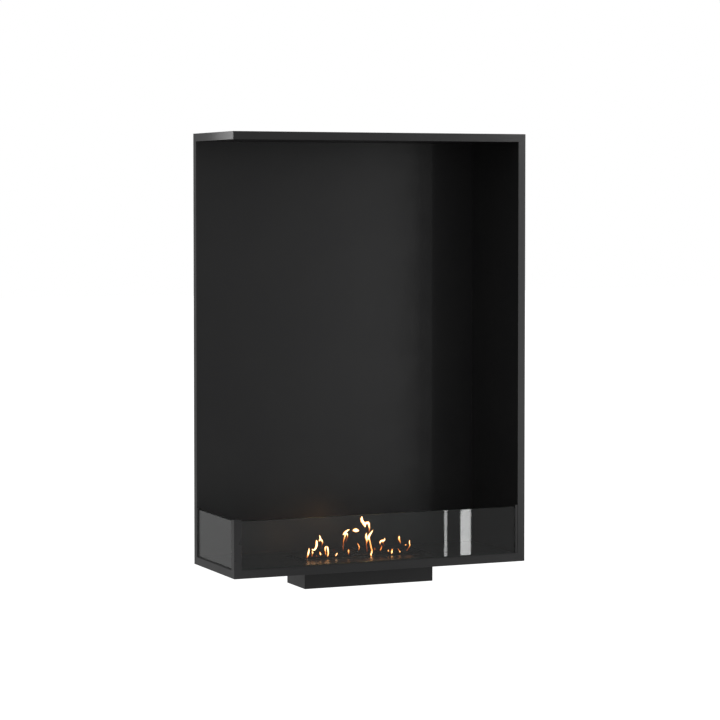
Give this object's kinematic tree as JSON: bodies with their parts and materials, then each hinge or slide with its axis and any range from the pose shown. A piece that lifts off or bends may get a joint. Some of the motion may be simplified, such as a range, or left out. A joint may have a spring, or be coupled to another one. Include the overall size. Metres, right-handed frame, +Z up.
{
  "type": "bioethanol fireplace insert",
  "caption": "Wall-hung corner bioethanol fireplace, open at the front and left, with a low glass guard and a lift-out slot burner.",
  "frame": {"origin": "centre of the four wall fixing holes, on the plane of the casing's back", "axes": "+X to the right as seen from the front, +Y back into the wall, +Z up"},
  "size_m": [0.8, 0.29, 1.15],
  "materials": {
    "black_powder_coat": "fine satin powder coat",
    "burner_black": "heat-resistant satin black",
    "galvanised_steel": "galvanised sheet",
    "stainless_steel": "brushed",
    "black_rivet": "satin black",
    "tempered_glass": "clear, ground edges",
    "seal_rubber": "matt",
    "ceramic_wool": "fibrous"
  },
  "bodies": {
    "casing": {"back_outer_panel": "black_powder_coat", "back_liner": "black_powder_coat", "right_outer_panel": "black_powder_coat", "right_liner": "black_powder_coat", "top_cover": "black_powder_coat", "ceiling_liner": "black_powder_coat", "base_pan": "black_powder_coat", "hearth_plate": "black_powder_coat", "back_spacer_rails": "galvanised_steel", "right_spacer_rails": "galvanised_steel", "top_spacer_rails": "galvanised_steel", "base_spacer_rails": "galvanised_steel", "wall_fixing_plates": "galvanised_steel", "casing_rivets": "black_rivet", "burner_housing": "black_powder_coat", "housing_rivets": "black_rivet", "burner_support_bars": "galvanised_steel", "corner_post": "black_powder_coat", "corner_post_spacer": "galvanised_steel", "corner_post_screw": "black_rivet", "right_glass_channel": "black_powder_coat", "rear_glass_channel": "black_powder_coat", "channel_rivets": "black_rivet", "front_glass_seal": "seal_rubber", "left_glass_seal": "seal_rubber"},
    "front_pane": {"front_glass": "tempered_glass"},
    "left_pane": {"left_glass": "tempered_glass"},
    "burner": {"burner_plate": "burner_black", "fuel_tank": "stainless_steel", "ceramic_wool": "ceramic_wool", "wool_mesh": "stainless_steel", "lid_guides": "burner_black", "guide_rivets": "black_rivet"},
    "lid": {"burner_lid": "burner_black"}
  },
  "joints": [
    {"name": "front_pane_lift", "type": "slide", "parent": "casing", "child": "front_pane", "axis": [0, 0, 1], "range_m": [0, 0.135]},
    {"name": "left_pane_lift", "type": "slide", "parent": "casing", "child": "left_pane", "axis": [0, 0, 1], "range_m": [0, 0.135]},
    {"name": "burner_lift", "type": "slide", "parent": "casing", "child": "burner", "axis": [0, 0, 1], "range_m": [0, 0.09]},
    {"name": "lid_slide", "type": "slide", "parent": "burner", "child": "lid", "axis": [0, -1, 0], "range_m": [0, 0.048]}
  ]
}
